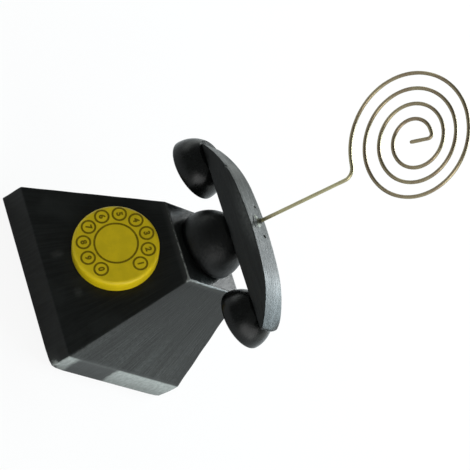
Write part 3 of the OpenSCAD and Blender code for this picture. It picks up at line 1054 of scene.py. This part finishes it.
def build_wire(scene):
    """The memo wire: a circle carried square to its route, a little uneven in thickness and
    swaying a little to the front and the back, with its cut ends drawn in."""
    wire = scene.memo_wire
    deep = BOARD_HIGH.z - BOARD_LOW.z + wire.in_neck
    route = wire_route(wire, deep)
    step = np.gradient(route, axis=0)
    step /= np.linalg.norm(step, axis=1, keepdims=True)
    travelled = np.concatenate([[0], np.cumsum(np.linalg.norm(np.diff(route, axis=0), axis=1))])
    uneven = (0.018 * np.sin(travelled / (2.3 * MM))
              + 0.012 * np.sin(travelled / (0.9 * MM) + 1))
    from_end = np.minimum(travelled, travelled[-1] - travelled)
    drawn_in = np.where(from_end < 0.02 * MM, 0.78, 1)
    radius = wire.diameter / 2 * (1 + uneven) * drawn_in
    across = np.stack([-step[:, 1], step[:, 0]], -1)
    turn = np.linspace(0, 2 * math.pi, wire.sides, endpoint=False)
    in_plane = across[:, None] * (np.cos(turn)[:, None] * radius[:, None, None])
    sway = 0.12 * MM * np.sin(travelled / (14 * MM)) * np.clip(travelled / (40 * MM) - 1, 0, 1)
    points = np.empty((len(route), wire.sides, 3))
    points[..., 0] = wire.right + route[:, None, 0] + in_plane[..., 0]
    points[..., 1] = WIRE_DEPTH + sway[:, None] - np.sin(turn) * radius[:, None]
    points[..., 2] = BOARD_HIGH.z + route[:, None, 1] + in_plane[..., 1]
    piece = closed_surface("spiral_wire", points, sharp_angle=60)
    age = np.interp(travelled, np.array([30, 50, 60]) * MM, [0.12, 0.12, 0.62])
    set_attribute(piece, "age", np.append(np.repeat(age, wire.sides), [age[0], age[-1]]))
    return piece


def build_wire_glue(scene):
    """The glue round the wire's foot: a polar grid over the board whose height is a small cone
    that climbs the wire, plus two bell-shaped blobs in front of it at the left and the right,
    and whose outline swells round those blobs. It dips a little into the board."""
    glue_height = scene.memo_fixings.glue_height
    turn = np.linspace(0, 2 * math.pi, 96, endpoint=False)
    out = np.concatenate([[1.02, 1.0], np.cos(np.linspace(0.05, math.pi / 2, 26))[:-1]])[:, None]
    left_blob = (math.radians(233), 2.0 * MM, 1.25 * MM)
    right_blob = (math.radians(-42), 2.6 * MM, 1.05 * MM)
    outline = 1.0 * MM + 0.12 * MM * np.sin(3 * turn + 1)
    for toward, away, size in (left_blob, right_blob):
        swell = 0.75 * (away + 0.3 * size)
        outline = outline + swell * bell(turn_between(toward, turn), 0.55)
    x, y = np.moveaxis((out * outline)[..., None] * heading(turn), -1, 0)
    height = 0.95 * glue_height * bell(np.hypot(x, y) - 0.5 * MM, 0.45 * MM)
    milk_and_highlight = np.zeros_like(height)
    for toward, away, size in (left_blob, right_blob):
        centre_x, centre_y = away * heading(toward)
        blob = bell(np.hypot(x - centre_x, y - centre_y), size)
        height = height + 0.22 * glue_height * blob
        # The blobs' pale colour: cloudy glue and a painted highlight.
        milk_and_highlight = milk_and_highlight + 0.85 * blob
    height = (height + 0.03 * MM) * np.clip(1 - out ** 4, 0, 1)
    height[0] = -0.15 * MM
    place = (scene.memo_wire.right, WIRE_DEPTH, BOARD_HIGH.z)
    piece = closed_surface("wire_foot_glue", put(np.stack([x, y, height], -1), place))
    set_attribute(piece, "milk_and_highlight", np.append(milk_and_highlight, [0, 0]))
    return piece


class MEMO_OT_block(bpy.types.Operator):
    """Make the tapered wooden block"""
    bl_idname = "memo.block"
    bl_label = "Block"

    def execute(self, context):
        scene = context.scene
        finish = scene.memo_finish
        paint = black_paint("block_paint", "Z", finish, finish.gloss, grain_bump=0.3, shade=1.2,
                            block_dust_and_sheen=True, marks=block_scuffs(scene.memo_block))
        finish_piece(build_block(scene), paint, "black_wood", "body")
        return {"FINISHED"}


class MEMO_OT_dial(bpy.types.Operator):
    """Make the dial disc and its print"""
    bl_idname = "memo.dial"
    bl_label = "Dial"

    def execute(self, context):
        scene = context.scene
        finish = scene.memo_finish
        finish_piece(build_dial(scene), dial_paint(finish), "yellow_dial", "dial_disc")
        ink = dial_ink(finish)
        for piece in build_print(scene):
            finish_piece(piece, ink, "yellow_dial")
        return {"FINISHED"}


class MEMO_OT_neck(bpy.types.Operator):
    """Make the neck, and give the dowel inside it its wood"""
    bl_idname = "memo.neck"
    bl_label = "Neck"

    def execute(self, context):
        scene = context.scene
        finish, neck = scene.memo_finish, scene.memo_neck
        paint = black_paint("neck_paint", "X", finish, finish.gloss + 0.06, grain_bump=0.5,
                            shade=0.55, marks=neck_dust_and_highlights())
        ball = build_ball("neck_ball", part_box("neck"), neck.rim_height, neck.foot_round)
        finish_piece(ball, paint, "black_wood", "neck")
        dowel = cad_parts["neck_dowel"]
        dowel.data.materials.clear()
        dowel.data.materials.append(bare_wood())
        return {"FINISHED"}


class MEMO_OT_handset(bpy.types.Operator):
    """Make the handset board, its two knobs and its nails"""
    bl_idname = "memo.handset"
    bl_label = "Handset"

    def execute(self, context):
        scene = context.scene
        finish = scene.memo_finish
        board = build_board(scene)
        for place in nail_places(scene):
            cut_away(board, nail_hole(place, scene))
        # A pale patch on the board's crown: dust, and also a painted reflection of the window
        # there.
        crown_dust_and_sheen = PaleMark((-1, 12.3, BOARD_HIGH.z / MM), 9.5, 0.4, (0.5, 1, 2))
        paint = black_paint("handset_paint", "X", finish, finish.gloss + 0.04, grain_bump=0.4,
                            shade=1.25, marks=[crown_dust_and_sheen])
        finish_piece(board, paint, "black_wood", "handset")
        knob_paint = black_paint("knob_paint", "Z", finish, finish.gloss - 0.08, grain_bump=0.15,
                                 shade=0.6)
        knob_round = scene.memo_handset.knob_round
        for name, node in (("ear_half_ball", "ear_knob"), ("mouth_half_ball", "mouth_knob")):
            knob = build_ball(name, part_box(node), knob_round, knob_round)
            finish_piece(knob, knob_paint, "black_wood", node)
        steel = nail_steel()
        for name, place in zip(("nail_left", "nail_right"), nail_places(scene)):
            finish_piece(build_nail(name, place, scene), steel, "nail_steel", "handset_nails")
        return {"FINISHED"}


class MEMO_OT_wire(bpy.types.Operator):
    """Make the memo wire with its spiral"""
    bl_idname = "memo.wire"
    bl_label = "Wire"

    def execute(self, context):
        scene = context.scene
        brass = wire_brass(scene.memo_finish)
        finish_piece(build_wire(scene), brass, "brass_wire", "memo_wire")
        return {"FINISHED"}


class MEMO_OT_glue(bpy.types.Operator):
    """Make the glue at the wire's foot"""
    bl_idname = "memo.glue"
    bl_label = "Glue"

    def execute(self, context):
        finish_piece(build_wire_glue(context.scene), dried_glue(), "dried_glue", "wire_glue")
        return {"FINISHED"}


def soft_lamp(name, azimuth, elevation, distance, size, watts, tint):
    """A rectangular area lamp round the object, aimed at it. The azimuth and the elevation are
    in degrees, from the front to the right and up from the level."""
    lamp = bpy.data.lights.new(name, "AREA")
    lamp.shape = "RECTANGLE"
    lamp.size, lamp.size_y = size
    lamp.energy = watts
    lamp.color = tint
    azimuth, elevation = math.radians(azimuth), math.radians(elevation)
    place = distance * Vector((math.sin(azimuth) * math.cos(elevation),
                               -math.cos(azimuth) * math.cos(elevation), math.sin(elevation)))
    aim_height = 0.05
    holder = link(name, lamp)
    holder.location = place + Vector((0, 0, aim_height))
    holder.rotation_mode = "QUATERNION"
    holder.rotation_quaternion = (-place).to_track_quat("-Z", "Y")


def build_camera(stage):
    """The camera at the photo's angle: it looks down and to the left, rolled clockwise."""
    camera = bpy.data.cameras.new("camera")
    camera.lens = stage.lens
    camera.clip_end = 50
    turn = (Matrix.Rotation(stage.camera_yaw, 4, "Z")
            @ Matrix.Rotation(math.pi / 2 - stage.camera_fall, 4, "X")
            @ Matrix.Rotation(stage.camera_roll, 4, "Z"))
    holder = link("camera", camera)
    holder.location = stage.camera_place
    holder.rotation_euler = turn.to_euler()
    bpy.context.scene.camera = holder


def build_world(stage):
    """A plain studio: pale walls behind and beside the object up to a little above the horizon,
    brighter at the left, and a dim ceiling and front. The camera sees plain white."""
    world = bpy.data.worlds.new("studio")
    world.use_nodes = True
    sky = Nodes(world.node_tree)
    x, y, z = sky.parts(sky.node("ShaderNodeTexCoord").outputs["Generated"])
    low = sky.span(z, math.sin(math.radians(26)), math.sin(math.radians(11)))
    beside = sky.span(y, -0.75, -0.25)
    leftward = sky.span(x, 0.7, -0.7, 0.83, 1.13)
    walls = sky.times(low, beside, stage.walls - stage.ceiling, leftward)
    light = sky.plus(walls, stage.ceiling)
    seen = sky.node("ShaderNodeLightPath").outputs["Is Camera Ray"]
    dimmed = sky.times(sky.maths("SUBTRACT", 1.0, seen), light)
    background = sky.tree.nodes["Background"]
    wall_tint, white = (0.94, 1.0, 0.97), (1.0, 1.0, 1.0)
    sky.join(sky.mix(seen, wall_tint, white), background.inputs["Color"])
    sky.join(sky.plus(dimmed, seen), background.inputs["Strength"])
    bpy.context.scene.world = world


def build_floor():
    """A wide pale floor, a hair below the object: mostly plain white to the camera, to gloss and
    to glass, so that it meets the walls unseen, and enough lit paint to keep the object's
    shadow."""
    wide, level = 6.0, -0.02 * MM
    corners = [(x * wide, y * wide, level) for x, y in ((-1, -1), (1, -1), (1, 1), (-1, 1))]
    mesh = bpy.data.meshes.new("floor")
    mesh.from_pydata(corners, [], [(0, 1, 2, 3)])
    finish = Finish("pale_floor", Base_Color=(0.85, 0.85, 0.85, 1), Roughness=0.9,
                    Specular_IOR_Level=0.0)
    rays = finish.node("ShaderNodeLightPath").outputs
    mirrored = finish.largest(rays["Is Glossy Ray"], rays["Is Transmission Ray"])
    plain_white = finish.plus(finish.times(rays["Is Camera Ray"], 0.9),
                              finish.times(mirrored, 0.3))
    blend = finish.node("ShaderNodeMixShader")
    finish.join(plain_white, blend.inputs["Fac"])
    finish.join(finish.shader.outputs["BSDF"], blend.inputs[1])
    finish.join(finish.node("ShaderNodeEmission").outputs["Emission"], blend.inputs[2])
    finish.join(blend.outputs["Shader"], finish.tree.nodes["Material Output"].inputs["Surface"])
    mesh.materials.append(finish.material)
    floor = link("floor", mesh)


class MEMO_OT_stage(bpy.types.Operator):
    """Make the camera, lamps, walls and floor"""
    bl_idname = "memo.stage"
    bl_label = "Stage"

    def execute(self, context):
        stage = context.scene.memo_stage
        context.scene.view_settings.view_transform = "Standard"
        build_camera(stage)
        build_world(stage)
        build_floor()
        soft_lamp("window", 175, 36, 1.2, (0.8, 0.45), stage.window_power, (0.78, 0.94, 1.0))
        soft_lamp("back_panel", 195, 27, 1.2, (0.38, 0.45), stage.back_power, (0.95, 0.99, 1.0))
        soft_lamp("side_panel", 85, 17, 1.0, (1.1, 0.7), stage.side_power, (1.0, 1.0, 1.0))
        soft_lamp("key", 53, 17, 1.0, (0.4, 0.4), stage.key_power, (1.0, 0.99, 0.97))
        return {"FINISHED"}


STEPS = (MEMO_OT_stage, MEMO_OT_block, MEMO_OT_dial, MEMO_OT_neck, MEMO_OT_handset,
         MEMO_OT_wire, MEMO_OT_glue)


class MEMO_PT_panel(bpy.types.Panel):
    """Lists the steps that build the memo holder"""
    bl_label = "Memo Holder"
    bl_idname = "MEMO_PT_panel"
    bl_space_type = "VIEW_3D"
    bl_region_type = "UI"
    bl_category = "Memo Holder"

    def draw(self, context):
        for step in STEPS:
            self.layout.operator(step.bl_idname)
        for name, group in SETTINGS.items():
            box = self.layout.box()
            box.label(text=group.__doc__)
            for key in group.__annotations__:
                box.prop(getattr(context.scene, name), key)


def register():
    """Adds the settings, the steps and the panel."""
    for group in SETTINGS.values():
        bpy.utils.register_class(group)
    for name, group in SETTINGS.items():
        setattr(bpy.types.Scene, name, PointerProperty(type=group))
    for kind in (*STEPS, MEMO_PT_panel):
        bpy.utils.register_class(kind)


def unregister():
    """Takes the panel, the steps and the settings out again."""
    for kind in reversed((*STEPS, MEMO_PT_panel)):
        bpy.utils.unregister_class(kind)
    for name in SETTINGS:
        delattr(bpy.types.Scene, name)
    for group in reversed(SETTINGS.values()):
        bpy.utils.unregister_class(group)


def main():
    register()
    for step in STEPS:
        group, name = step.bl_idname.split(".")
        getattr(getattr(bpy.ops, group), name)()


if __name__ == "__main__":
    main()
